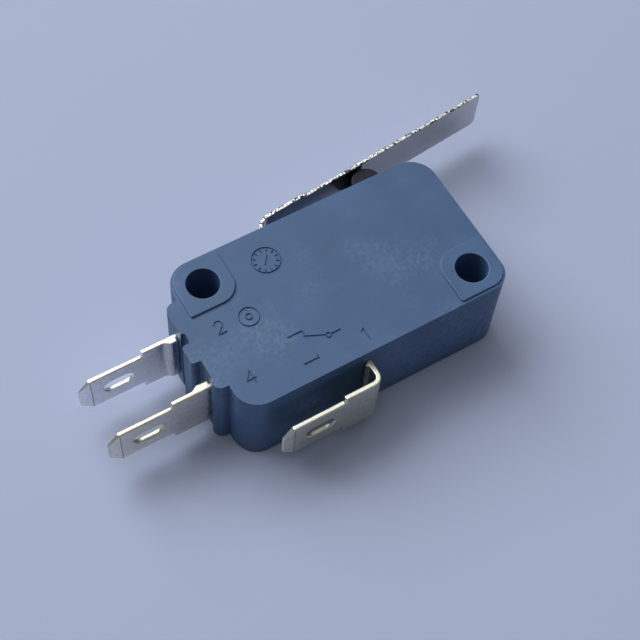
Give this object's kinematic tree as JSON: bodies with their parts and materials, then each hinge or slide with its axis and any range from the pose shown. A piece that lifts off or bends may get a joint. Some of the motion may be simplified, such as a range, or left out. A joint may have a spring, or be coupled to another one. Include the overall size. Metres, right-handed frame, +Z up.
{
  "type": "lever micro switch",
  "caption": "Snap-action micro switch in a rectangular moulded case with a long straight hinged lever, a push plunger and quick-connect blade terminals.",
  "frame": {"origin": "midway between the two mounting holes, on the plane of the pads under the cover", "axes": "+X along the body, away from the two end terminals; +Y towards the plunger and the lever; +Z up through the thickness, out of the case's face"},
  "size_m": [0.0494, 0.0234, 0.0103],
  "materials": {
    "case_plastic": "satin moulded slate blue",
    "cover_plastic": "satin moulded slate blue",
    "plunger_plastic": "black, satin",
    "lever_steel": "bright rolled",
    "terminal_metal": "tin plated, satin",
    "contact_metal": "silver faced",
    "arm_metal": "spring copper alloy",
    "inner_steel": "satin",
    "spring_steel": "drawn wire"
  },
  "bodies": {
    "housing": {"case": "case_plastic", "cover": "cover_plastic", "com_terminal": "terminal_metal", "nc_terminal": "terminal_metal", "no_terminal": "terminal_metal", "nc_contact": "contact_metal", "no_contact": "contact_metal"},
    "actuator": {"actuator_lever": "lever_steel"},
    "button": {"plunger": "plunger_plastic"},
    "operator": {"operating_lever": "inner_steel"},
    "arm": {"contact_arm": "arm_metal", "moving_contact": "contact_metal"},
    "spring": {"tension_spring": "spring_steel"}
  },
  "joints": [
    {"name": "actuator_hinge", "type": "hinge", "parent": "housing", "child": "actuator", "pos_m": [-0.0023, 0.007, 0.00515], "axis": [0, 0, -1], "range_deg": [0, 9.74], "stiffness_Nm_per_rad": 0.01, "springref_deg": -22.92},
    {"name": "plunger_slide", "type": "slide", "parent": "housing", "child": "button", "axis": [0, -1, 0], "range_m": [0, 0.00195]},
    {"name": "operating_hinge", "type": "hinge", "parent": "housing", "child": "operator", "pos_m": [-0.00135, -0.004, 0.00515], "axis": [0, 0, -1], "range_deg": [0, 10.3]},
    {"name": "arm_hinge", "type": "hinge", "parent": "housing", "child": "arm", "pos_m": [-0.00155, -0.0003, 0.00515], "axis": [0, 0, 1], "range_deg": [0, 4.5]},
    {"name": "spring_hinge", "type": "hinge", "parent": "arm", "child": "spring", "pos_m": [-0.00695, -0.00009, 0.00515], "axis": [0, 0, 1], "range_deg": [-6.54, 0], "deforming": ["tension_spring"]}
  ],
  "couplings": [
    {"joint": "plunger_slide", "follows": "actuator_hinge", "m_per_rad": 0.01145},
    {"joint": "operating_hinge", "follows": "actuator_hinge", "ratio": 1.056},
    {"joint": "arm_hinge", "follows": "actuator_hinge", "ratio": 0.4615},
    {"joint": "spring_hinge", "follows": "actuator_hinge", "ratio": -0.67}
  ]
}
